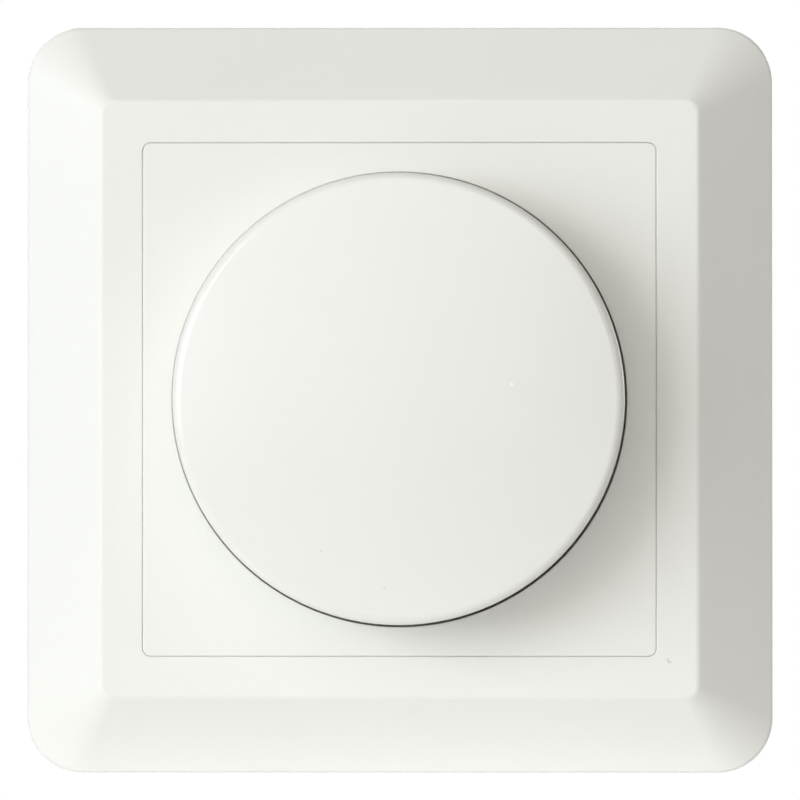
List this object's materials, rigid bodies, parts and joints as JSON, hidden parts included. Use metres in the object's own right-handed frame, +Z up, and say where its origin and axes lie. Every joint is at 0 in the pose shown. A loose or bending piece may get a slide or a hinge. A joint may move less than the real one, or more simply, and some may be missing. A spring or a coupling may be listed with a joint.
{
  "type": "rotary dimmer switch",
  "caption": "Flush-mounted rotary dimmer: square sloped surround, centre plate, large round push-and-turn knob, and a wall-box insert behind.",
  "frame": {"origin": "midway between the upper and lower box screw holes, on the wall plane at the back of the support plate", "axes": "+Z up as installed, front faces -Y out of the wall, +X to the right seen from the front"},
  "size_m": [0.081, 0.0485, 0.081],
  "materials": {
    "white_gloss": "smooth gloss moulding, warm white",
    "housing_grey": "fine matt moulding",
    "zinc_steel": "bright zinc plating",
    "spring_steel": "bare spring steel",
    "plain_brass": "turned brass",
    "nickel_brass": "nickel-plated brass",
    "bright_steel": "turned and plated",
    "dark_moulding": "matt black moulding",
    "brown_phenolic": "pressed phenolic",
    "board_green": "lacquered board",
    "copper_wire": "enamelled copper",
    "ferrite": "sintered ferrite",
    "capacitor_yellow": "boxed film capacitor",
    "resistor_tan": "lacquered film resistor",
    "sink_aluminium": "mill finish",
    "fuse_glass": "clear tube",
    "white_moulding": "plain moulding",
    "pad_pink": "thermal pad"
  },
  "bodies": {
    "insert": {"cover_frame": "white_gloss", "centre_plate": "white_gloss", "spindle_nut": "nickel_brass", "nut_washer": "zinc_steel", "support_plate": "zinc_steel", "housing_screws": "bright_steel", "pot_bush": "nickel_brass", "pot_case": "zinc_steel", "resistance_track": "brown_phenolic", "switch_case": "dark_moulding", "push_spring": "spring_steel", "switch_contacts": "plain_brass", "circuit_board": "board_green", "film_capacitor": "capacitor_yellow", "timing_capacitor": "capacitor_yellow", "resistors": "resistor_tan", "diac": "resistor_tan", "triac_frame": "bright_steel", "triac_body": "dark_moulding", "triac_pad": "pad_pink", "triac_screw": "bright_steel", "heat_sink": "sink_aluminium", "heat_sink_rivet": "sink_aluminium", "choke_core": "ferrite", "choke_winding": "copper_wire", "fuse_tube": "fuse_glass", "fuse_caps": "nickel_brass", "fuse_clips": "plain_brass", "trimmer_body": "dark_moulding", "insert_housing": "housing_grey", "terminal_clamps": "plain_brass", "terminal_screws": "bright_steel"},
    "rotor": {"wiper_rotor": "white_moulding", "wiper_contact": "plain_brass"},
    "control": {"rotary_knob": "white_gloss", "knob_spring_ring": "spring_steel", "spindle": "bright_steel"},
    "plunger": {"switch_plunger": "white_moulding", "contact_bridge": "copper_wire"},
    "trimmer": {"trimmer_shaft": "white_moulding"},
    "claw_right": {"claw_right": "spring_steel"},
    "claw_left": {"claw_left": "spring_steel"},
    "claw_screw_right": {"claw_screw_right": "bright_steel"},
    "claw_screw_left": {"claw_screw_left": "bright_steel"}
  },
  "joints": [
    {"name": "knob_turn", "type": "hinge", "parent": "insert", "child": "rotor", "pos_m": [0, 0, 0], "axis": [0, 1, 0], "range_deg": [-135, 135]},
    {"name": "knob_push", "type": "slide", "parent": "rotor", "child": "control", "axis": [0, 1, 0], "range_m": [0, 0.0018], "stiffness_N_per_m": 1200},
    {"name": "plunger_slide", "type": "slide", "parent": "insert", "child": "plunger", "axis": [0, 1, 0], "range_m": [0, 0.0018], "deforming": ["push_spring"]},
    {"name": "trim_turn", "type": "hinge", "parent": "insert", "child": "trimmer", "pos_m": [0.0156, 0, -0.0095], "axis": [0, 1, 0], "range_deg": [-135, 135]},
    {"name": "claw_screw_right_turn", "type": "hinge", "parent": "insert", "child": "claw_screw_right", "pos_m": [0.02565, 0, 0], "axis": [0, 1, 0], "range_deg": [0, 685]},
    {"name": "claw_screw_left_turn", "type": "hinge", "parent": "insert", "child": "claw_screw_left", "pos_m": [-0.02565, 0, 0], "axis": [0, 1, 0], "range_deg": [0, 685]},
    {"name": "claw_right_swing", "type": "hinge", "parent": "insert", "child": "claw_right", "pos_m": [0.02315, 0.0022, 0], "axis": [0, 0, -1], "range_deg": [0, 20]},
    {"name": "claw_left_swing", "type": "hinge", "parent": "insert", "child": "claw_left", "pos_m": [-0.02315, 0.0022, 0], "axis": [0, 0, 1], "range_deg": [0, 20]}
  ],
  "couplings": [
    {"joint": "plunger_slide", "follows": "knob_push", "ratio": 1},
    {"joint": "claw_right_swing", "follows": "claw_screw_right_turn", "ratio": 0.029197},
    {"joint": "claw_left_swing", "follows": "claw_screw_left_turn", "ratio": 0.029197}
  ]
}
